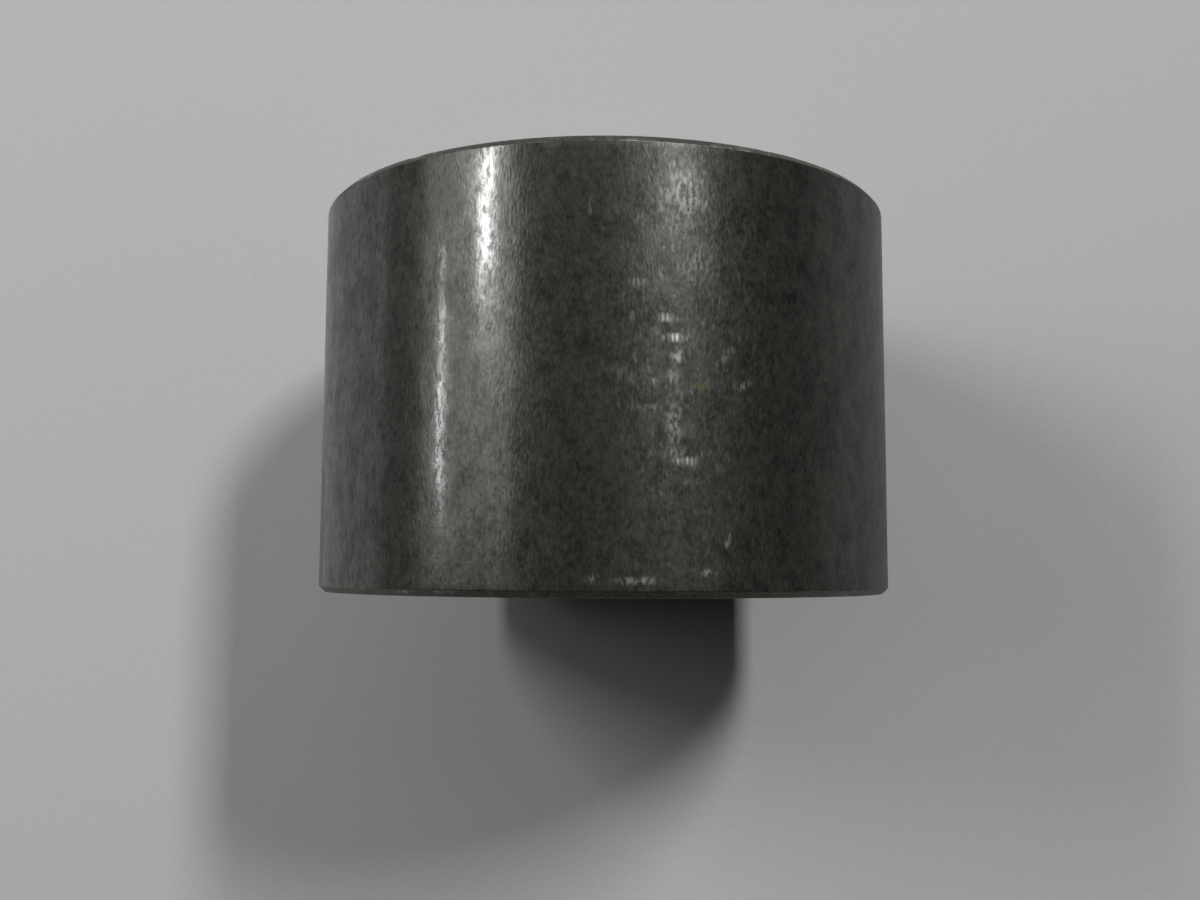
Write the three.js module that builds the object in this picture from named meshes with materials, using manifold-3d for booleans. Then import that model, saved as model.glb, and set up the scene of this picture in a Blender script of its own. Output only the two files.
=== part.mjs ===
// A short rigid sleeve coupling for two 30 mm shafts that meet end to end.
//
// A plain steel sleeve carries one keyway along its bore. Each half of the bore holds a square-ended key, one
// set screw that bears on that key, and one set screw, a quarter turn round, that bears on the shaft itself.
//
// Units are millimetres. The shaft axis is Y, the origin is on it at mid-length, and +Z is up as the sleeve
// lies on its side with the keys lowest. End A is the +Y end and end B is the -Y end.

import * as THREE from "three";
import { mergeVertices } from "three/addons/utils/BufferGeometryUtils.js";
import Module from "manifold-3d";

const wasm = await Module();
wasm.setup();

// Driving dimensions: the sleeve.
const OUTER_DIAMETER = 60;
const LENGTH = 40;
const BORE_DIAMETER = 30;
const OUTER_CHAMFER = 0.6;
const BORE_CHAMFER = 1.0;

// The key and its keyway, as standardised for a 30 mm shaft.
const KEY_WIDTH = 8;
const KEY_HEIGHT = 7;
const KEY_LENGTH = 18;
const KEY_CHAMFER = 0.4;
const KEYWAY_DEPTH = 3.3; // beyond the bore's wall
const KEY_TOP_CLEARANCE = 0.3; // from the key's top to the keyway's floor
const KEY_SIDE_CLEARANCE = 0.05; // on each side

// The M8 set screws with hexagon socket and cup point, and their tapped holes.
const THREAD_DIAMETER = 8;
const THREAD_CLEARANCE = 0.15; // taken off the screw's radius, and added to the hole's
const COUNTERSINK = 0.5;
const KEY_SCREW_LENGTH = 10;
const SHAFT_SCREW_LENGTH = 12;
const SHAFT_SCREW_SETBACK = 0.6; // from the screw's tip to the bore's wall
const SOCKET_ACROSS_FLATS = 4;
const SOCKET_DEPTH = 4;
const CUP_DIAMETER = 5;
const CUP_DEPTH = 1.2;
const HEAD_CHAMFER = 0.7;

const SLEEVE_SEGMENTS = 120;
const SCREW_SEGMENTS = 36;
const CUTTER_OVERRUN = 2; // how far a cutting shape runs past the surface that it cuts

// What follows from those.
const outerRadius = OUTER_DIAMETER / 2;
const boreRadius = BORE_DIAMETER / 2;
const halfLength = LENGTH / 2;
const screwRadius = THREAD_DIAMETER / 2 - THREAD_CLEARANCE;
const holeRadius = THREAD_DIAMETER / 2 + THREAD_CLEARANCE;
const keywayFloor = boreRadius + KEYWAY_DEPTH; // distances from the shaft axis
const keyTop = keywayFloor - KEY_TOP_CLEARANCE;
const stationY = halfLength / 2; // each key and screw sits halfway along its own half of the sleeve

// Directions round the shaft axis, as turns about Y that bring +Z there.
const DOWN = Math.PI;
const SIDEWAYS = Math.PI / 2;

const steel = new THREE.MeshStandardMaterial({ color: 0x4a4a47, roughness: 0.45, metalness: 0.9 });
const keySteel = new THREE.MeshStandardMaterial({ color: 0x8c8b86, roughness: 0.35, metalness: 0.9 });
const blackSteel = new THREE.MeshStandardMaterial({ color: 0x222224, roughness: 0.4, metalness: 0.9 });

/** A closed geometry as a manifold solid. */
function solid(geometry) {
  const bare = geometry.clone();
  bare.deleteAttribute("normal");
  bare.deleteAttribute("uv");
  const merged = mergeVertices(bare, 1e-4);
  return new wasm.Manifold(
    new wasm.Mesh({
      numProp: 3,
      vertProperties: new Float32Array(merged.attributes.position.array),
      triVerts: new Uint32Array(merged.index.array),
    }),
  );
}

/** A manifold solid as a geometry. */
function geometryOf(made) {
  const { vertProperties, triVerts } = made.getMesh();
  const geometry = new THREE.BufferGeometry();
  geometry.setAttribute("position", new THREE.BufferAttribute(vertProperties, 3));
  geometry.setIndex(new THREE.BufferAttribute(triVerts, 1));
  geometry.computeVertexNormals();
  return geometry;
}

/** A solid of revolution about Y from [radius, y] points. */
function turned(points, segments) {
  return new THREE.LatheGeometry(
    points.map(([radius, y]) => new THREE.Vector2(radius, y)),
    segments,
  );
}

/** The sleeve's blank: a thick ring with its four edges chamfered. */
function sleeveBlank() {
  const section = [
    [boreRadius, -halfLength + BORE_CHAMFER],
    [boreRadius + BORE_CHAMFER, -halfLength],
    [outerRadius - OUTER_CHAMFER, -halfLength],
    [outerRadius, -halfLength + OUTER_CHAMFER],
    [outerRadius, halfLength - OUTER_CHAMFER],
    [outerRadius - OUTER_CHAMFER, halfLength],
    [boreRadius + BORE_CHAMFER, halfLength],
    [boreRadius, halfLength - BORE_CHAMFER],
    [boreRadius, -halfLength + BORE_CHAMFER],
  ];
  return turned(section, SLEEVE_SEGMENTS);
}

/** The broached keyway, cut along the whole bore on its lowest side. */
function keywayCutter() {
  const width = KEY_WIDTH + 2 * KEY_SIDE_CLEARANCE;
  const cutter = new THREE.BoxGeometry(width, LENGTH + 2 * CUTTER_OVERRUN, keywayFloor);
  return cutter.translate(0, 0, -keywayFloor / 2);
}

/** One tapped hole with its countersink, from the shaft axis outwards in the direction that turn gives. */
function tappedHoleCutter(y, turn) {
  const mouth = outerRadius - COUNTERSINK;
  const cutter = turned(
    [
      [0, 0],
      [holeRadius, 0],
      [holeRadius, mouth],
      [holeRadius + COUNTERSINK + CUTTER_OVERRUN, outerRadius + CUTTER_OVERRUN],
      [0, outerRadius + CUTTER_OVERRUN],
    ],
    SCREW_SEGMENTS,
  );
  return cutter.rotateX(Math.PI / 2).rotateY(turn).translate(0, y, 0);
}

function makeSleeve() {
  let made = solid(sleeveBlank()).subtract(solid(keywayCutter()));
  for (const y of [stationY, -stationY]) {
    for (const turn of [DOWN, SIDEWAYS]) {
      made = made.subtract(solid(tappedHoleCutter(y, turn)));
    }
  }
  const mesh = new THREE.Mesh(geometryOf(made), steel);
  mesh.name = "sleeve";
  return mesh;
}

/** A square-ended parallel key: a bar along Y whose long edges are chamfered. */
function makeKey(name, y) {
  const right = KEY_WIDTH / 2;
  const top = KEY_HEIGHT / 2;
  const outline = new THREE.Shape();
  outline.moveTo(right - KEY_CHAMFER, -top);
  outline.lineTo(right, -top + KEY_CHAMFER);
  outline.lineTo(right, top - KEY_CHAMFER);
  outline.lineTo(right - KEY_CHAMFER, top);
  outline.lineTo(-right + KEY_CHAMFER, top);
  outline.lineTo(-right, top - KEY_CHAMFER);
  outline.lineTo(-right, -top + KEY_CHAMFER);
  outline.lineTo(-right + KEY_CHAMFER, -top);
  outline.closePath();
  const bar = new THREE.ExtrudeGeometry(outline, { depth: KEY_LENGTH, bevelEnabled: false });
  bar.translate(0, 0, -KEY_LENGTH / 2).rotateX(Math.PI / 2);
  const mesh = new THREE.Mesh(bar, keySteel);
  mesh.name = name;
  mesh.position.set(0, y, -keyTop + KEY_HEIGHT / 2);
  return mesh;
}

/** A set screw that stands on its cup point at the origin, with its socket up at z = length. */
function setScrewGeometry(length) {
  const headRadius = screwRadius - HEAD_CHAMFER;
  const cupRadius = CUP_DIAMETER / 2;
  const shank = turned(
    [
      [0, CUP_DEPTH],
      [cupRadius, 0],
      [screwRadius, screwRadius - cupRadius],
      [screwRadius, length - HEAD_CHAMFER],
      [headRadius, length],
      [0, length],
    ],
    SCREW_SEGMENTS,
  );
  const socket = new THREE.CylinderGeometry(
    SOCKET_ACROSS_FLATS / Math.sqrt(3),
    SOCKET_ACROSS_FLATS / Math.sqrt(3),
    SOCKET_DEPTH + CUTTER_OVERRUN,
    6,
  );
  socket.translate(0, length + (CUTTER_OVERRUN - SOCKET_DEPTH) / 2, 0);
  return geometryOf(solid(shank).subtract(solid(socket))).rotateX(Math.PI / 2);
}

/** A set screw at y along the sleeve, its tip tipRadius from the shaft axis, in the direction that turn gives. */
function makeSetScrew(name, length, y, tipRadius, turn) {
  const mesh = new THREE.Mesh(setScrewGeometry(length), blackSteel);
  mesh.name = name;
  mesh.position.z = tipRadius;
  const holder = new THREE.Group();
  holder.rotation.y = turn;
  holder.position.y = y;
  holder.add(mesh);
  return holder;
}

const coupling = new THREE.Group();
coupling.add(makeSleeve());
for (const [end, y] of [
  ["a", stationY],
  ["b", -stationY],
]) {
  coupling.add(makeKey(`key_${end}`, y));
  coupling.add(makeSetScrew(`key_set_screw_${end}`, KEY_SCREW_LENGTH, y, keywayFloor, DOWN));
  const shaftScrewTip = boreRadius + SHAFT_SCREW_SETBACK;
  coupling.add(makeSetScrew(`shaft_set_screw_${end}`, SHAFT_SCREW_LENGTH, y, shaftScrewTip, SIDEWAYS));
}

export default coupling;
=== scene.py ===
"""The looks of a rigid sleeve coupling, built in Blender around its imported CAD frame.

The shaft axis is Y, the origin is on it at mid-length, and +Z is up as the sleeve lies on its side.
Every length is in metres. A turn is an angle round the shaft axis, from +Z towards +X.
"""

import math
import random

import bmesh
import bpy
from mathutils import Matrix, Vector, noise


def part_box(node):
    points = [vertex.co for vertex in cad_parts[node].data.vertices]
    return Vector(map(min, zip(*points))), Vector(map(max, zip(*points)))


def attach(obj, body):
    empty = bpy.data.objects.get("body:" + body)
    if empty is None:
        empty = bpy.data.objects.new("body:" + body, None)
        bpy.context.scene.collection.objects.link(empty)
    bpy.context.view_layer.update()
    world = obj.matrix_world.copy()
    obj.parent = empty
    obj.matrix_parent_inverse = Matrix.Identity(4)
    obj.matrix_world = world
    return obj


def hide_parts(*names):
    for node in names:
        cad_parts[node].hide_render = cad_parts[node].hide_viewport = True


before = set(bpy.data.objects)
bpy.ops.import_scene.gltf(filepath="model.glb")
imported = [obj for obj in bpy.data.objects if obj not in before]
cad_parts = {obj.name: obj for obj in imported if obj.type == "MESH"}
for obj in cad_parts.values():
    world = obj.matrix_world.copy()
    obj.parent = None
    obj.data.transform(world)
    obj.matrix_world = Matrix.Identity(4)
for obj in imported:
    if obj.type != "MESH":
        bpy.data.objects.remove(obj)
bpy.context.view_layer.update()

MM = 0.001

# Driving sizes that the frame's boxes don't give.
OUTER_CHAMFER = 0.6 * MM
BORE_CHAMFER = 1.0 * MM
EDGE_SOFTENING = 0.15 * MM
SLEEVE_SEGMENTS = 360
TICK_SPACING = 0.42  # in millimetres, of the marks in a row on the wall
WAVE_LENGTH = 4.5 * MM  # of the wall's faint unevenness
WAVE_DEPTH = 0.03 * MM
WORN_SKIN = 1.2 * MM  # how deep under the wall the waves and nicks reach
NICKS_PER_END = 16
NICKED_END = 2.5 * MM  # how far along the wall from each end a nick can reach
SCREW_SETBACK = 0.6 * MM  # from the shaft screws' tips to the bore's wall
KEYWAY_SIDE_GAP = 0.05 * MM
KEYWAY_CORNER = 0.3 * MM
PITCH = 1.25 * MM  # of the M8 threads
THREAD_HALF_ANGLE = 30  # degrees
CREST_SHARE = 0.36  # of a thread's two flats together
SCREW_CREST = 3.93 * MM  # radii
SCREW_ROOT = 3.25 * MM
THREAD_GAP = 0.08 * MM  # from the screw's thread to its hole's, along the radius
COUNTERSINK = 0.5 * MM
SOCKET_ACROSS_FLATS = 4.0 * MM
SOCKET_DEPTH = 4.0 * MM
DRILL_POINT = 31  # degrees, of the socket's drilled bottom
CUP_RADIUS = 2.5 * MM
CUP_DEPTH = 1.2 * MM
HEAD_CHAMFER = 0.7 * MM
KEY_CHAMFER = 0.4 * MM
EASE = 0.1 * MM  # of the sharp turned edges on a screw
OVERRUN = 1 * MM  # how far a cutting shape runs past what it cuts

# What the frame says.
outer_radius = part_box("sleeve")[1].x
half_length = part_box("sleeve")[1].y
bore_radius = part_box("shaft_set_screw_a")[0].x - SCREW_SETBACK
keyway_floor = -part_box("key_set_screw_a")[1].z  # its distance from the shaft axis
key_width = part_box("key_a")[1].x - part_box("key_a")[0].x
SIDEWAYS, DOWN = math.pi / 2, math.pi


# ---------------------------------------------------------------- camera and studio


def add_camera():
    """Nearly straight above end B, tipped a little towards end A, with a lens as wide as its height."""
    data = bpy.data.cameras.new("camera")
    data.lens = 36
    data.sensor_width = 36
    data.clip_start = 0.01
    camera = bpy.data.objects.new("camera", data)
    camera.location = (-0.012 * outer_radius, -0.865 * half_length, 4.354 * outer_radius)
    camera.rotation_euler = (math.radians(5.53), 0, math.radians(0.25))
    bpy.context.scene.collection.objects.link(camera)
    bpy.context.scene.camera = camera


def add_strip_light(name, towards, distance, width, length, power):
    """A soft strip lamp that lights the coupling from one direction, its length along the shaft axis."""
    data = bpy.data.lights.new(name, "AREA")
    data.shape = "RECTANGLE"
    data.size = width
    data.size_y = length
    data.energy = power
    lamp = bpy.data.objects.new(name, data)
    back = Vector(towards).normalized()
    across = Vector((0, 1, 0)).cross(back).normalized()
    along = back.cross(across)
    turn = Matrix((across, along, back)).transposed()
    lamp.matrix_world = Matrix.Translation(back * distance) @ turn.to_4x4()
    bpy.context.scene.collection.objects.link(lamp)


def add_far_floor_lights():
    """Spots that keep the distant floor pale. Their cones end well short of the coupling."""
    count, away, height = 8, 1.25, 1.1
    for k in range(count):
        data = bpy.data.lights.new(f"floor_spot_{k}", "SPOT")
        data.spot_size = math.radians(82)
        data.spot_blend = 1.0
        data.shadow_soft_size = 0.05
        data.energy = 5.5
        lamp = bpy.data.objects.new(data.name, data)
        turn = 2 * math.pi * k / count
        lamp.location = (away * math.cos(turn), away * math.sin(turn), height)
        bpy.context.scene.collection.objects.link(lamp)


def add_world(overhead, horizon):
    """A grey room: dim overhead, and paler in a low band round the horizon."""
    world = bpy.data.worlds.new("room")
    world.use_nodes = True
    nodes, links = world.node_tree.nodes, world.node_tree.links
    towards = nodes.new("ShaderNodeTexCoord").outputs["Generated"]
    apart = nodes.new("ShaderNodeSeparateXYZ")
    band = nodes.new("ShaderNodeMapRange")
    band.interpolation_type = "SMOOTHSTEP"
    band.inputs["From Min"].default_value = 0.0
    band.inputs["From Max"].default_value = math.sin(math.radians(11))
    band.inputs["To Min"].default_value = horizon
    band.inputs["To Max"].default_value = overhead
    links.new(towards, apart.inputs[0])
    links.new(apart.outputs["Z"], band.inputs["Value"])
    links.new(band.outputs["Result"], nodes["Background"].inputs["Color"])
    bpy.context.scene.world = world


def add_paper():
    """The sheet of pale paper that the sleeve lies on."""
    mesh = bpy.data.meshes.new("paper")
    reach = 1.5
    low = -outer_radius
    corners = [(-reach, -reach, low), (reach, -reach, low), (reach, reach, low), (-reach, reach, low)]
    mesh.from_pydata(corners, [], [(0, 1, 2, 3)])
    paper = bpy.data.objects.new("paper", mesh)
    bpy.context.scene.collection.objects.link(paper)
    mesh.materials.append(paper_material())


# ---------------------------------------------------------------- materials


class Graph:
    """A material's node tree, with a short call for each kind of node that the materials below need."""

    def __init__(self, name):
        self.material = bpy.data.materials.new(name)
        self.material.use_nodes = True
        self.tree = self.material.node_tree
        self.shader = self.tree.nodes["Principled BSDF"]

    def node(self, kind, inputs=(), **settings):
        made = self.tree.nodes.new("ShaderNode" + kind)
        for key, value in settings.items():
            setattr(made, key, value)
        for key, value in dict(inputs).items():
            self.feed(made.inputs[key], value)
        return made

    def feed(self, socket, value):
        if isinstance(value, bpy.types.NodeSocket):
            self.tree.links.new(value, socket)
        else:
            socket.default_value = value

    def place(self, stretch=(1, 1, 1), offset=(0, 0, 0)):
        """The shared frame's coordinates in millimetres, with each axis multiplied by stretch."""
        where = self.node("TexCoord").outputs["Object"]
        scale = [s / MM for s in stretch]
        return self.node("Mapping", {"Vector": where, "Scale": scale, "Location": offset}).outputs["Vector"]

    def noise(self, where, scale, detail=2.0, roughness=0.5, distortion=0.0):
        sizes = {"Vector": where, "Scale": scale, "Detail": detail, "Roughness": roughness}
        return self.node("TexNoise", {**sizes, "Distortion": distortion}).outputs["Fac"]

    def maths(self, operation, a, b=0.0, clamp=False):
        return self.node("Math", {0: a, 1: b}, operation=operation, use_clamp=clamp).outputs[0]

    def between(self, value, low, high, to_low=0.0, to_high=1.0, smooth=False):
        """value, carried from the span low..high to the span to_low..to_high and held inside it."""
        kind = "SMOOTHSTEP" if smooth else "LINEAR"
        inputs = {"Value": value, "From Min": low, "From Max": high, "To Min": to_low, "To Max": to_high}
        return self.node("MapRange", inputs, interpolation_type=kind).outputs["Result"]

    def mix(self, share, a, b):
        made = self.node("Mix", data_type="RGBA")
        self.feed(made.inputs[0], share)
        self.feed(made.inputs[6], a)
        self.feed(made.inputs[7], b)
        return made.outputs[2]

    def bump(self, height, depth, normal=None):
        """Surface relief: height from 0 to 1 stands for that depth in metres."""
        inputs = {"Height": height, "Distance": depth, "Strength": 1.0}
        if normal is not None:
            inputs["Normal"] = normal
        return self.node("Bump", inputs).outputs["Normal"]

    def finish(self, **inputs):
        for key, value in inputs.items():
            self.feed(self.shader.inputs[key.replace("_", " ")], value)
        return self.material


def grey(value, tint=(1, 1, 1)):
    return (*[value * t for t in tint], 1)


def paper_material():
    g = Graph("paper")
    fibres = g.noise(g.place(), 1.5, detail=4)
    shade = g.mix(g.between(fibres, 0.3, 0.7), grey(0.675), grey(0.7))
    return g.finish(Base_Color=shade, Roughness=0.85, Normal=g.bump(fibres, 0.03 * MM))


def on_the_wall(g):
    """Where a point is on the sleeve's wall, in millimetres: round it from its top line, and along it."""
    x, y, z = g.node("SeparateXYZ", {"Vector": g.place()}).outputs
    around = g.maths("MULTIPLY", g.maths("ARCTAN2", x, z), outer_radius / MM)
    return g.node("CombineXYZ", {"X": around, "Y": y}).outputs[0]


def spot(g, wall, turn, along, half_width, half_length, tilt=0, core=0.2):
    """1 in an oval on the wall and 0 outside it. turn and tilt are in degrees, the rest in millimetres."""
    centre = (math.radians(turn) * outer_radius / MM, along, 0)
    inputs = {"Vector": wall, "Location": centre, "Rotation": (0, 0, math.radians(tilt)),
              "Scale": (half_width, half_length, 1)}
    local = g.node("Mapping", inputs, vector_type="TEXTURE").outputs["Vector"]
    away = g.node("VectorMath", {0: local}, operation="LENGTH").outputs["Value"]
    return g.between(away, 1.0, core, smooth=True)


def together(g, masks):
    """The strongest of some (mask, strength) pairs at each point."""
    total = 0.0
    for mask, strength in masks:
        total = g.maths("MAXIMUM", total, g.maths("MULTIPLY", mask, strength))
    return total


def rubs_and_painted_highlight(g, wall):
    """The bright handling marks: short rows of ticks, and much fainter smudges, scratches and specks, with
    two soft patches of bright flecks near the top end that are a painted highlight of the upper right
    lamp's reflection.
    """
    around = g.node("SeparateXYZ", {"Vector": wall}).outputs["X"]
    uneven = g.noise(g.place((1, 0.3, 1)), 1.6, detail=2)
    phase = g.maths("MULTIPLY", around, 2 * math.pi / TICK_SPACING)
    comb = g.maths("SINE", g.maths("ADD", phase, g.maths("MULTIPLY", uneven, 5.0)))
    ticks = g.maths("MULTIPLY", g.between(comb, -1.5, 0.9), g.between(uneven, 0.4, 0.55, 0.25, 1.0))
    rows = together(g, [
        (spot(g, wall, 10.0, 3.9, 1.7, 0.55), 0.5),
        (spot(g, wall, 11.5, 2.2, 1.5, 0.55), 0.85),
        (spot(g, wall, 13.2, -8.4, 1.5, 0.55), 0.9),
        (spot(g, wall, 5.2, 6.9, 1.6, 0.55), 0.22),
        (spot(g, wall, 8.0, -1.6, 0.45, 0.4), 0.35),
    ])
    fine = g.between(g.noise(g.place((1, 0.4, 1)), 3.2, detail=3), 0.42, 0.6)
    smudges_and_painted_highlight = together(g, [
        (spot(g, wall, 11.8, 0.6, 0.8, 1.0, core=0.1), 0.55),
        (spot(g, wall, 11.2, -1.2, 0.9, 1.5, core=0.0), 0.3),
        (spot(g, wall, 11.2, -5.2, 1.1, 2.9, tilt=6, core=0.2), 0.32),
        (spot(g, wall, 11.5, -7.7, 1.8, 1.0, core=0.0), 0.26),
        (spot(g, wall, 8.0, -3.9, 2.2, 0.5, tilt=4, core=0.1), 0.2),
        (spot(g, wall, 3.0, -1.0, 1.6, 1.0, tilt=-30, core=0.0), 0.16),
        (spot(g, wall, 20.0, 0.6, 0.45, 2.0, tilt=-38, core=0.1), 0.32),
        (spot(g, wall, 23.5, -1.6, 1.4, 0.6, tilt=20, core=0.1), 0.42),
        (spot(g, wall, 20.5, -15.2, 0.4, 1.5, tilt=-25, core=0.1), 0.45),
        (spot(g, wall, -2.4, 13.6, 0.35, 1.2, tilt=-6, core=0.1), 0.35),
        (spot(g, wall, -4.5, 9.0, 1.0, 0.6, core=0.0), 0.2),
        (spot(g, wall, 5.0, -18.5, 2.8, 0.5, core=0.1), 0.55),
        (spot(g, wall, -2.0, -18.3, 1.2, 0.7, core=0.0), 0.35),
        (spot(g, wall, 17.0, -17.9, 1.2, 0.6, core=0.1), 0.5),
        # Painted highlight: the next two soft patches of bright flecks paint the upper right lamp's sheen
        # near the top end, fainter away from the end.
        (spot(g, wall, 13.0, 15.0, 3.4, 4.4, core=0.0), 0.3),
        (spot(g, wall, 15.0, 9.0, 3.0, 3.0, core=0.0), 0.16),
    ])
    return g.maths("MAXIMUM", g.maths("MULTIPLY", rows, ticks), g.maths("MULTIPLY", smudges_and_painted_highlight, fine))


def skin_material():
    """The sleeve's outside: dark mottled steel with lengthwise strokes, an oil film and handling marks, and
    bright flecks near the top end painted as the upper right lamp's highlight.
    """
    g = Graph("sleeve_skin")
    wall = on_the_wall(g)
    x, _, _ = g.node("SeparateXYZ", {"Vector": g.place()}).outputs
    grain = g.noise(g.place((1, 0.45, 1)), 4.2, detail=2, roughness=0.55, distortion=0.1)
    scale = g.noise(g.place((1, 0.75, 1)), 1.5, detail=5, roughness=0.66, distortion=0.2)
    mottle = g.noise(g.place((1, 0.65, 1)), 0.6, detail=3, roughness=0.6)
    patches = g.noise(g.place((1, 0.6, 1)), 0.16, detail=4, roughness=0.6)
    handled = spot(g, wall, 13, 2, 11, 32, core=0.3)
    marks = rubs_and_painted_highlight(g, wall)

    fine = g.maths("ADD", g.maths("MULTIPLY", grain, 0.38), g.maths("MULTIPLY", scale, 0.34))
    strokes = g.between(g.maths("ADD", fine, g.maths("MULTIPLY", mottle, 0.38)), 0.44, 0.68)
    dark = g.mix(g.between(patches, 0.35, 0.65), grey(0.03, (0.98, 1, 0.85)), grey(0.045, (1.0, 1, 0.88)))
    colour = g.mix(strokes, dark, grey(0.104, (0.99, 1, 0.88)))
    flecks = g.between(g.noise(g.place((1, 0.4, 1)), 2.4, detail=2), 0.58, 0.7)
    flecked = g.maths("MULTIPLY", g.maths("MULTIPLY", flecks, handled), 0.4)
    colour = g.mix(flecked, colour, grey(0.24, (1, 1, 0.84)))
    # Pale steel where the marks are: real handling marks, and near the top end a painted highlight of the
    # upper right lamp.
    colour = g.mix(g.maths("MULTIPLY", marks, 0.9), colour, grey(0.66, (1, 1, 0.94)))
    brassy = spot(g, wall, 16, -1.9, 1.3, 0.45, tilt=3, core=0.0)
    colour = g.mix(g.maths("MULTIPLY", brassy, 0.6), colour, (0.15, 0.14, 0.05, 1))

    wiped = g.between(x, -6.0, 4.0, -0.05, 0.02)
    dull = g.maths("ADD", g.between(scale, 0.3, 0.7, 0.32, 0.42), g.between(mottle, 0.35, 0.65, 0.04, 0.0))
    relief = g.maths("ADD", g.maths("MULTIPLY", grain, 0.6), g.maths("MULTIPLY", scale, 0.35))
    pinholes = g.noise(g.place((1, 0.4, 1)), 2.5, detail=4, roughness=0.65)
    thinning = g.noise(g.place((1, 0.45, 1)), 0.42, detail=3, roughness=0.6)
    unbroken = g.between(pinholes, 0.38, 0.53, 0.18, 1.0)
    thickness = g.between(thinning, 0.38, 0.56, 0.42, 1.0)
    left_on = g.maths("MULTIPLY", unbroken, thickness)
    film = g.maths("MULTIPLY", g.between(x, -4.0, 5.0, 0.47, 0.05), left_on)
    return g.finish(
        Base_Color=colour,
        Metallic=0.6,
        Roughness=g.maths("ADD", dull, wiped),
        Specular_Tint=grey(0.7),
        Anisotropic=0.38,
        Anisotropic_Rotation=0.25,
        Tangent=g.node("Tangent", direction_type="RADIAL", axis="Y").outputs[0],
        Normal=g.bump(relief, 0.031 * MM),
        Coat_Weight=g.maths("MULTIPLY", film, g.between(marks, 0.0, 0.5, 1.0, 0.2)),
        Coat_IOR=2.0,
        Coat_Roughness=0.125,
        Coat_Normal=g.bump(relief, 0.006 * MM),
    )


def edge_material():
    """The chamfers round the sleeve's two ends: dull dark steel, bright in patches from knocks."""
    g = Graph("sleeve_edges")
    knocks = g.between(g.noise(g.place(), 0.35, detail=5, roughness=0.7), 0.54, 0.66)
    grit = g.noise(g.place(), 4.5, detail=3)
    dull = g.mix(g.between(grit, 0.35, 0.65), grey(0.08, (1.04, 1, 0.85)), grey(0.16, (1.04, 1, 0.85)))
    return g.finish(
        Base_Color=g.mix(g.maths("MULTIPLY", knocks, 0.8), dull, grey(0.4, (1, 1, 0.92))),
        Metallic=0.9,
        Roughness=g.between(grit, 0.3, 0.7, 0.4, 0.58),
        Normal=g.bump(grit, 0.04 * MM),
    )


def face_material():
    """The end faces: turned bright, with the tool's rings, and since dulled by oil and fingers."""
    g = Graph("sleeve_end_faces")
    x, _, z = g.node("SeparateXYZ", {"Vector": g.place()}).outputs
    flat = g.node("CombineXYZ", {"X": x, "Y": z}).outputs[0]
    radius = g.node("VectorMath", {0: flat}, operation="LENGTH").outputs["Value"]
    rings = g.node("CombineXYZ", {"X": radius}).outputs[0]
    broad = g.noise(rings, 0.9, detail=2)
    fine = g.noise(rings, 3.4, detail=4, roughness=0.8)
    stain = g.noise(g.place(), 0.12, detail=6, roughness=0.65)
    scratches = g.between(g.noise(g.place((0.35, 1, 3.2)), 1.3, detail=1, distortion=0.6), 0.67, 0.7)
    marks = g.maths("ADD", g.maths("MULTIPLY", fine, 0.8), g.maths("MULTIPLY", broad, 0.4))
    clean = g.mix(g.between(marks, 0.45, 0.75), grey(0.2, (1, 0.99, 0.93)), grey(0.42, (1, 0.99, 0.95)))
    colour = g.mix(g.between(stain, 0.5, 0.68, 0.0, 0.6), clean, grey(0.13, (1.08, 1, 0.82)))
    colour = g.mix(g.maths("MULTIPLY", scratches, 0.4), colour, grey(0.5))
    grime = g.maths("ADD", g.maths("MULTIPLY", fine, 0.5), g.maths("MULTIPLY", stain, 0.6))
    return g.finish(
        Base_Color=colour,
        Metallic=0.97,
        Roughness=g.between(grime, 0.35, 0.8, 0.27, 0.44),
        Anisotropic=0.55,
        Anisotropic_Rotation=0.25,
        Tangent=g.node("Tangent", direction_type="RADIAL", axis="Y").outputs[0],
        Normal=g.bump(marks, 0.05 * MM),
    )


def bore_material():
    """The bore: bored to size, with fine rings and a film of oil."""
    g = Graph("sleeve_bore")
    rings = g.noise(g.place((0.01, 1, 0.01)), 5.5, detail=3, roughness=0.7)
    drag = g.noise(g.place((1, 0.5, 1)), 0.4, detail=4)
    colour = g.mix(g.between(drag, 0.35, 0.65), grey(0.2, (1, 1, 0.93)), grey(0.34, (1, 1, 0.94)))
    return g.finish(
        Base_Color=colour,
        Metallic=0.95,
        Roughness=g.between(rings, 0.3, 0.7, 0.25, 0.38),
        Normal=g.bump(rings, 0.02 * MM),
    )


def broached_material():
    """The keyway: straight cutting lines along the bore."""
    g = Graph("sleeve_keyway")
    lines = g.noise(g.place((1, 0.012, 1)), 5, detail=4, roughness=0.7)
    colour = g.mix(g.between(lines, 0.35, 0.65), grey(0.2, (1, 1, 0.93)), grey(0.32, (1, 1, 0.95)))
    return g.finish(
        Base_Color=colour,
        Metallic=0.95,
        Roughness=g.between(lines, 0.3, 0.7, 0.28, 0.42),
        Normal=g.bump(lines, 0.02 * MM),
    )


def tapped_material():
    """The tapped holes: cut steel, darkened by cutting oil in patches."""
    g = Graph("sleeve_threads")
    chatter = g.noise(g.place(), 3.5, detail=4)
    oil = g.noise(g.place(), 0.7, detail=3)
    colour = g.mix(g.between(oil, 0.4, 0.65), grey(0.3, (1, 1, 0.94)), grey(0.14, (1.05, 1, 0.85)))
    return g.finish(
        Base_Color=colour,
        Metallic=0.95,
        Roughness=g.between(chatter, 0.3, 0.7, 0.26, 0.42),
        Normal=g.bump(chatter, 0.012 * MM),
    )


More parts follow.
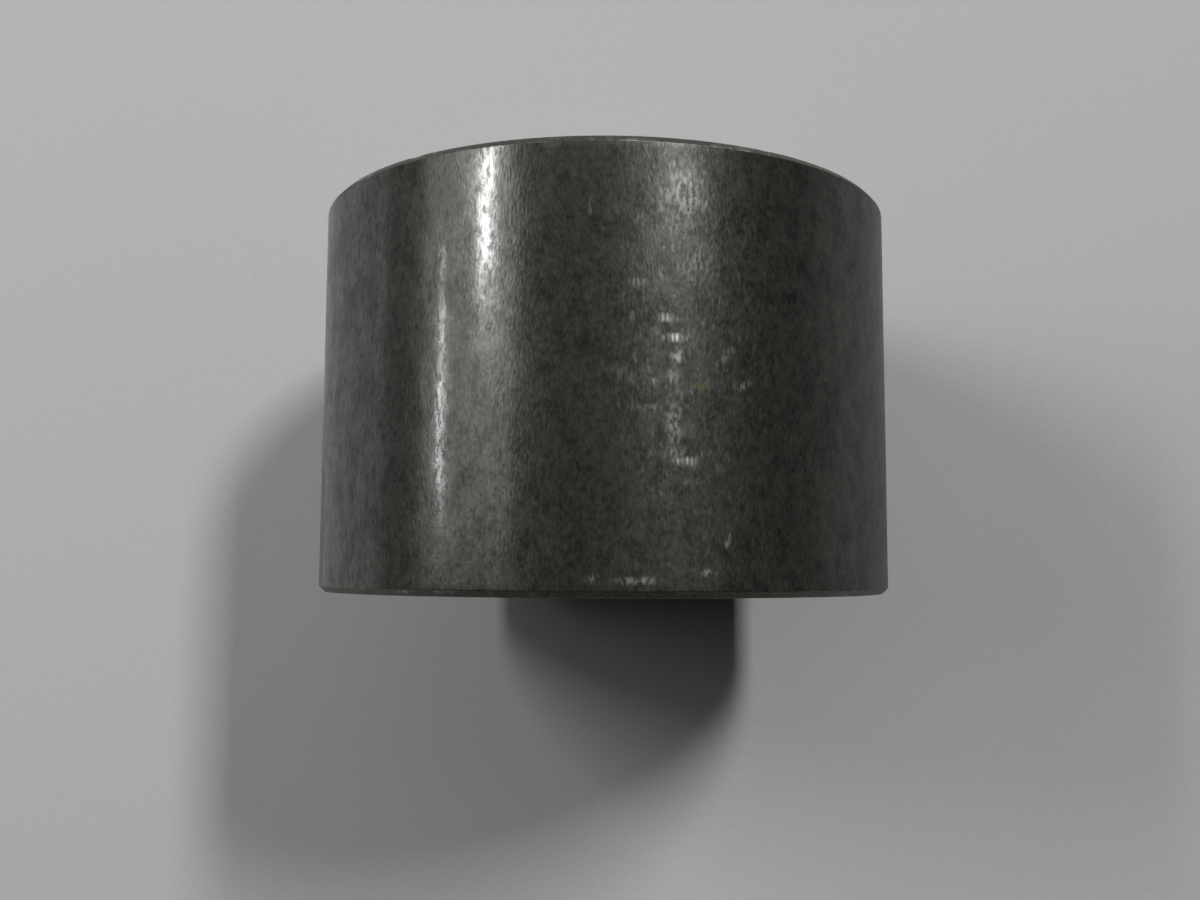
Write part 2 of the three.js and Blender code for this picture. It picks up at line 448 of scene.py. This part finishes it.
def key_material(low, high):
    """Bright drawn key steel: lines along its length, saw marks across its ends, and a few oil stains."""
    g = Graph("key_steel")
    _, y, _ = g.node("SeparateXYZ", {"Vector": g.place()}).outputs
    middle = (low.y + high.y) / 2 / MM
    reach = (high.y - low.y) / 2 / MM
    from_middle = g.maths("ABSOLUTE", g.maths("SUBTRACT", y, middle))
    sawn = g.between(from_middle, reach - 0.05, reach - 0.02)
    draw = g.noise(g.place((1, 0.02, 1)), 5, detail=4, roughness=0.65)
    saw = g.noise(g.place((0.06, 1, 1)), 3.2, detail=3, roughness=0.7)
    lines = g.mix(sawn, draw, saw)
    stain = g.noise(g.place(), 0.45, detail=5, roughness=0.6)
    clean = g.mix(g.between(lines, 0.35, 0.65), grey(0.42, (1, 0.99, 0.95)), grey(0.55, (1, 0.99, 0.96)))
    colour = g.mix(g.between(stain, 0.52, 0.68, 0.0, 0.6), clean, grey(0.2, (1.15, 1, 0.78)))
    return g.finish(
        Base_Color=colour,
        Metallic=1.0,
        Roughness=g.between(lines, 0.3, 0.7, 0.24, 0.4),
        Normal=g.bump(lines, 0.02 * MM),
    )


def screw_material():
    """Black oxide with a trace of oil. The mesh's worn attribute says where the oxide has rubbed off."""
    g = Graph("screw_steel")
    stain = g.noise(g.place(), 1.6, detail=5)
    worn = g.node("Attribute", attribute_name="worn").outputs["Fac"]
    rubbed = g.between(g.maths("ADD", worn, g.maths("MULTIPLY", stain, 0.8)), 1.28, 1.5)
    oxide = g.mix(g.between(stain, 0.35, 0.65), grey(0.022, (1, 1, 1.05)), grey(0.05, (1, 1, 1.1)))
    return g.finish(
        Base_Color=g.mix(rubbed, oxide, grey(0.3, (1, 0.99, 0.95))),
        Metallic=0.9,
        Roughness=g.between(stain, 0.3, 0.7, 0.26, 0.42),
        Normal=g.bump(g.noise(g.place(), 5, detail=2), 0.008 * MM),
        Coat_Weight=0.15,
        Coat_Roughness=0.2,
    )


# ---------------------------------------------------------------- mesh work


def filleted(corners, radii, steps):
    """A closed outline whose corners are rounded to their radii: a list of (point, index of its corner)."""
    out = []
    for i, (corner, radius) in enumerate(zip(corners, radii)):
        here = Vector(corner)
        back = (Vector(corners[i - 1]) - here).normalized()
        on = (Vector(corners[(i + 1) % len(corners)]) - here).normalized()
        half = back.angle(on) / 2
        centre = here + (back + on).normalized() * (radius / math.sin(half))
        first = here + back * (radius / math.tan(half))
        swing = math.pi - 2 * half
        turn = swing if back.cross(on) > 0 else -swing
        count = max(2, round(steps * swing / (math.pi / 2)))
        for k in range(count + 1):
            spoke = first - centre
            angle = -turn * k / count
            c, s = math.cos(angle), math.sin(angle)
            out.append((centre + Vector((spoke.x * c - spoke.y * s, spoke.x * s + spoke.y * c)), i))
    return out


def with_rows(outline, spacing):
    """The outline with its long straight stretches cut into rows: a list of (point, stretch index)."""
    out = []
    for i, (point, corner) in enumerate(outline):
        nxt, next_corner = outline[(i + 1) % len(outline)]
        out.append((point, corner))
        if next_corner != corner:
            count = max(1, round((nxt - point).length / spacing[corner]))
            out += [(point.lerp(nxt, k / count), corner) for k in range(1, count)]
    return out


def lathe(name, outline, segments, closed=True):
    """A mesh turned about Y from [((radius, y), material index)]. closed joins the outline's ends."""
    verts, rings = [], []
    for point, _ in outline:
        if point[0] < 1e-9:
            rings.append([len(verts)] * segments)
            verts.append((0, point[1], 0))
            continue
        rings.append([len(verts) + k for k in range(segments)])
        for k in range(segments):
            angle = 2 * math.pi * k / segments
            verts.append((point[0] * math.sin(angle), point[1], point[0] * math.cos(angle)))
    faces, zones = [], []
    for i in range(len(outline) if closed else len(outline) - 1):
        ring, nxt = rings[i], rings[(i + 1) % len(outline)]
        for k in range(segments):
            m = (k + 1) % segments
            face = list(dict.fromkeys((ring[k], ring[m], nxt[m], nxt[k])))
            if len(face) > 2:
                faces.append(face)
                zones.append(outline[i][1])
    mesh = bpy.data.meshes.new(name)
    mesh.from_pydata(verts, [], faces)
    mesh.polygons.foreach_set("material_index", zones)
    tidy_normals(mesh)
    return mesh


def tidy_normals(mesh):
    """Turns every face of a closed mesh outwards."""
    bm = bmesh.new()
    bm.from_mesh(mesh)
    bmesh.ops.recalc_face_normals(bm, faces=bm.faces)
    bm.to_mesh(mesh)
    bm.free()


def threaded_rod(name, root, crest, start, end, segments=48):
    """A right-hand thread about +Y from start to end, a little longer than asked, as one closed mesh."""
    flank = (crest - root) * math.tan(math.radians(THREAD_HALF_ANGLE))
    flats = PITCH - 2 * flank
    crest_flat = CREST_SHARE * flats
    heights = (0, flats - crest_flat, flats - crest_flat + flank, flats + flank)
    radii = (root, root, crest, crest)
    turns = math.ceil((end - start) / PITCH) + 2
    base = (math.floor(start / PITCH) - 1) * PITCH
    rows = len(heights) * turns
    verts = []
    for row in range(rows + 1):
        lap, part = divmod(row, len(heights))
        for k in range(segments):
            angle = 2 * math.pi * k / segments
            y = base + heights[part] + (lap + k / segments) * PITCH
            verts.append((radii[part] * math.sin(angle), y, radii[part] * math.cos(angle)))
    step = len(heights)
    faces = []
    for row in range(rows):
        for k in range(segments - 1):
            a = row * segments + k
            faces.append((a, a + 1, a + segments + 1, a + segments))
    last = segments - 1
    for row in range(rows - step):
        faces.append((row * segments + last, (row + step) * segments,
                      (row + step + 1) * segments, (row + 1) * segments + last))
    bottom = list(range(segments)) + [row * segments for row in range(step, 0, -1)]
    top = [rows * segments + k for k in range(segments)]
    top += [(rows - row) * segments + last for row in range(1, step + 1)]
    for loop, tip in ((bottom, base - PITCH), (top, base + (turns + 2) * PITCH)):
        verts.append((0, tip, 0))
        centre = len(verts) - 1
        faces += [(loop[i], loop[(i + 1) % len(loop)], centre) for i in range(len(loop))]
    mesh = bpy.data.meshes.new(name)
    mesh.from_pydata(verts, [], faces)
    tidy_normals(mesh)
    return mesh


def piece(name, mesh):
    """A new object in the scene that shows the mesh."""
    made = bpy.data.objects.new(name, mesh)
    bpy.context.scene.collection.objects.link(made)
    return made


def cut(target, tool, operation="DIFFERENCE"):
    """target changed by the solid tool, which is then gone."""
    modifier = target.modifiers.new("cut", "BOOLEAN")
    modifier.operation = operation
    modifier.solver = "EXACT"
    modifier.material_mode = "TRANSFER"
    modifier.object = tool
    graph = bpy.context.evaluated_depsgraph_get()
    mesh = bpy.data.meshes.new_from_object(target.evaluated_get(graph))
    target.modifiers.clear()
    old = target.data
    target.data = mesh
    bpy.data.meshes.remove(old)
    bpy.data.meshes.remove(tool.data)


def outward(turn):
    """The rotation that carries +Y to the radial direction at that turn."""
    direction = Vector((math.sin(turn), 0, math.cos(turn)))
    across = Vector((0, 1, 0))
    return Matrix((direction.cross(across), direction, across)).transposed().to_4x4()


def smooth(mesh, sharp_angle):
    """Smooth shading, broken at edges that turn by more than sharp_angle degrees."""
    mesh.polygons.foreach_set("use_smooth", [True] * len(mesh.polygons))
    mesh.set_sharp_from_angle(angle=math.radians(sharp_angle))


# ---------------------------------------------------------------- the pieces

SKIN, EDGE, FACED, BORED, BROACHED, TAPPED = range(6)


def sleeve_blank():
    """The turned blank: chamfers in and out, each corner a little softened."""
    corners = [
        (bore_radius, -half_length + BORE_CHAMFER),
        (bore_radius + BORE_CHAMFER, -half_length),
        (outer_radius - OUTER_CHAMFER, -half_length),
        (outer_radius, -half_length + OUTER_CHAMFER),
        (outer_radius, half_length - OUTER_CHAMFER),
        (outer_radius - OUTER_CHAMFER, half_length),
        (bore_radius + BORE_CHAMFER, half_length),
        (bore_radius, half_length - BORE_CHAMFER),
    ]
    zones = (BORED, FACED, EDGE, SKIN, EDGE, FACED, BORED, BORED)
    spacing = [{SKIN: 0.6, EDGE: 0.2, FACED: 1.2, BORED: 1.5}[z] * MM for z in zones]
    outline = with_rows(filleted(corners, [EDGE_SOFTENING] * len(corners), 8), spacing)
    return lathe("sleeve", [(p, zones[i]) for p, i in outline], SLEEVE_SEGMENTS)


def nick_places():
    """Seeded knocks on the outer edges: (centre, reach, depth, push direction)."""
    chance = random.Random(7)
    places = []
    for end in (-1, 1):
        for _ in range(NICKS_PER_END):
            turn = chance.uniform(0, 2 * math.pi)
            radius = outer_radius - chance.uniform(0, 1) * OUTER_CHAMFER
            y = end * (half_length - OUTER_CHAMFER + outer_radius - radius)
            outwards = Vector((math.sin(turn), 0, math.cos(turn)))
            centre = outwards * radius + Vector((0, y, 0))
            push = -(outwards + Vector((0, end, 0))).normalized()
            places.append((centre, chance.uniform(0.4, 1.1) * MM, chance.uniform(0.03, 0.08) * MM, push))
    return places


def weather(mesh):
    """Gives the finished wall its faint waves and knocks its outer edges. Nothing moves outwards."""
    nicks = nick_places()
    for vertex in mesh.vertices:
        place = vertex.co.copy()
        outwards = Vector((place.x, 0, place.z))
        under = outer_radius - outwards.length
        if under > WORN_SKIN:
            continue
        share = 1 - under / WORN_SKIN
        wave = 0.5 + 0.5 * noise.noise(Vector((place.x, place.y * 0.6, place.z)) / WAVE_LENGTH)
        vertex.co -= outwards.normalized() * (WAVE_DEPTH * wave * share)
        if abs(place.y) < half_length - NICKED_END:
            continue
        for centre, reach, depth, push in nicks:
            near = 1 - (place - centre).length_squared / reach**2
            if near > 0:
                vertex.co += push * (depth * near * near)


def keyway_cutter():
    """The broached slot along the bore's lowest side, with its corners rounded."""
    half = key_width / 2 + KEYWAY_SIDE_GAP
    corners = [(-half, 0), (-half, -keyway_floor), (half, -keyway_floor), (half, 0)]
    outline = [p for p, _ in filleted(corners, [KEYWAY_CORNER] * 4, 4)]
    reach = half_length + OVERRUN
    verts = [(p.x, y, p.y) for y in (-reach, reach) for p in outline]
    n = len(outline)
    faces = [tuple(range(n)), tuple(range(2 * n - 1, n - 1, -1))]
    faces += [(k, k + n, (k + 1) % n + n, (k + 1) % n) for k in range(n)]
    mesh = bpy.data.meshes.new("keyway")
    mesh.from_pydata(verts, [], faces)
    tidy_normals(mesh)
    return mesh


def add_sleeve():
    """The sleeve, with its keyway and four tapped and countersunk holes cut into the turned blank."""
    sleeve = piece("steel_sleeve", sleeve_blank())
    for material in (
        skin_material(),
        edge_material(),
        face_material(),
        bore_material(),
        broached_material(),
        tapped_material(),
    ):
        sleeve.data.materials.append(material)
    keyway = piece("keyway", keyway_cutter())
    keyway.data.materials.append(sleeve.data.materials[BROACHED])
    cut(sleeve, keyway)
    station = (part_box("key_set_screw_a")[0].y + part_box("key_set_screw_a")[1].y) / 2
    mouth = outer_radius - COUNTERSINK
    hole = SCREW_CREST + THREAD_GAP
    rise = 3 * MM
    sink = [((0, mouth - OVERRUN), 0), ((hole - OVERRUN, mouth - OVERRUN), 0),
            ((hole + rise, mouth + rise), 0), ((0, mouth + rise), 0)]
    for y in (station, -station):
        for turn, inner in ((DOWN, keyway_floor - OVERRUN), (SIDEWAYS, bore_radius - 1.5 * OVERRUN)):
            where = Matrix.Translation((0, y, 0)) @ outward(turn)
            rod = threaded_rod("thread", SCREW_ROOT + THREAD_GAP, hole, inner + PITCH, outer_radius)
            for mesh in (rod, lathe("sink", sink, 64, closed=False)):
                mesh.transform(where)
                tool = piece("tool", mesh)
                mesh.materials.append(sleeve.data.materials[TAPPED])
                cut(sleeve, tool)
    weather(sleeve.data)
    smooth(sleeve.data, 28)
    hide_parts("sleeve")
    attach(sleeve, "sleeve")


def add_key(end):
    """A square-ended key: its long edges chamfered, and every edge a little softened."""
    low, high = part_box(f"key_{end}")
    size = high - low
    bm = bmesh.new()
    bmesh.ops.create_cube(bm, size=1)
    bm.transform(Matrix.Translation((low + high) / 2) @ Matrix.Diagonal((*size, 1)))
    long_edges = [e for e in bm.edges if abs((e.verts[0].co - e.verts[1].co).y) > size.y / 2]
    bmesh.ops.bevel(bm, geom=long_edges, offset=KEY_CHAMFER, segments=1, profile=0.5, affect="EDGES")
    bmesh.ops.bevel(bm, geom=bm.edges[:], offset=0.06 * MM, segments=2, profile=0.5, affect="EDGES")
    mesh = bpy.data.meshes.new(f"key_{end}")
    bm.to_mesh(mesh)
    bm.free()
    mesh.materials.append(key_material(low, high))
    key = piece(f"square_key_{end}", mesh)
    smooth(mesh, 30)
    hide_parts(f"key_{end}")
    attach(key, f"key_{end}")


def socket_cutter(head):
    """The hexagon socket's hollow, with its drilled bottom, down from head."""
    mesh = bpy.data.meshes.new("socket")
    bm = bmesh.new()
    corner = SOCKET_ACROSS_FLATS / math.sqrt(3)
    hexagon = [(corner * math.sin(math.pi * k / 3), corner * math.cos(math.pi * k / 3)) for k in range(6)]
    rings = [[bm.verts.new((x, y, z)) for x, z in hexagon] for y in (head + OVERRUN, head - SOCKET_DEPTH)]
    tip = bm.verts.new((0, head - SOCKET_DEPTH - corner * math.tan(math.radians(DRILL_POINT)), 0))
    bm.faces.new(rings[0])
    for k in range(6):
        m = (k + 1) % 6
        bm.faces.new((rings[0][k], rings[0][m], rings[1][m], rings[1][k]))
        bm.faces.new((rings[1][k], rings[1][m], tip))
    bmesh.ops.recalc_face_normals(bm, faces=bm.faces)
    bm.to_mesh(mesh)
    bm.free()
    return mesh


def mark_wear(mesh, y, turn, tip, head):
    """Stores worn, from 0 to 1, on each point of a screw: thread crests, cup rim and the head's edge."""
    direction = Vector((math.sin(turn), 0, math.cos(turn)))
    worn = mesh.attributes.new("worn", "FLOAT", "POINT")
    for vertex, value in zip(mesh.vertices, worn.data):
        place = vertex.co - Vector((0, y, 0))
        height = place.dot(direction)
        radius = (place - direction * height).length
        crest = (radius - SCREW_ROOT) / (SCREW_CREST - SCREW_ROOT)
        rim = 1 - abs(radius - CUP_RADIUS) / (0.3 * MM) if height < tip + 0.1 * MM else 0
        edge = 1 if height > head - 0.05 * MM and radius < SCREW_CREST - 0.5 * MM else 0
        value.value = min(1, max(0, crest, rim, edge * 0.9))


def add_set_screw(node, turn, material):
    """A set screw with hexagon socket and cup point, its tip towards the shaft axis."""
    low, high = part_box(node)
    y = (low.y + high.y) / 2
    tip, head = (low.x, high.x) if turn == SIDEWAYS else (-high.z, -low.z)
    blank = [
        ((0, tip + CUP_DEPTH), 0),
        ((CUP_RADIUS - EASE, tip + 0.3 * EASE), 0),
        ((CUP_RADIUS, tip), 0),
        ((CUP_RADIUS + EASE, tip + 0.3 * EASE), 0),
        ((SCREW_CREST, tip + SCREW_CREST - CUP_RADIUS), 0),
        ((SCREW_CREST, head - HEAD_CHAMFER), 0),
        ((SCREW_CREST - HEAD_CHAMFER + EASE, head - 0.3 * EASE), 0),
        ((SCREW_CREST - HEAD_CHAMFER, head), 0),
        ((SOCKET_ACROSS_FLATS * 0.66, head), 0),
        ((SOCKET_ACROSS_FLATS * 0.5, head - 0.6 * MM), 0),
        ((0, head - 0.6 * MM), 0),
    ]
    screw = piece("grub_" + node, threaded_rod(node, SCREW_ROOT, SCREW_CREST, tip, head))
    cut(screw, piece("blank", lathe("blank", blank, 72, closed=False)), "INTERSECT")
    cut(screw, piece("socket", socket_cutter(head)))
    screw.data.transform(Matrix.Translation((0, y, 0)) @ outward(turn))
    screw.data.materials.clear()
    screw.data.materials.append(material)
    mark_wear(screw.data, y, turn, tip, head)
    smooth(screw.data, 28)
    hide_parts(node)
    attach(screw, node)


add_camera()
add_sleeve()
black = screw_material()
for end in ("a", "b"):
    add_key(end)
    add_set_screw(f"key_set_screw_{end}", DOWN, black)
    add_set_screw(f"shaft_set_screw_{end}", SIDEWAYS, black)
add_paper()
add_strip_light("lamp_right", (0.54, 0.71, 1), 1.0, 0.11, 0.24, 4.4)
add_strip_light("lamp_left", (-1.01, 0.57, 1), 0.6, 0.056, 0.19, 0.8)
add_strip_light("lamp_low", (-2.05, 0.33, 1), 0.9, 0.015, 0.2, 0.33)
add_strip_light("lamp_left_glow", (-1.35, 0.5, 1), 0.8, 0.55, 0.5, 0.74)
add_strip_light("lamp_far", (-0.1, 0.62, 1), 1.0, 0.6, 0.35, 0.46)
add_far_floor_lights()
add_world(0.01, 0.1)
bpy.context.scene.view_settings.view_transform = "Standard"
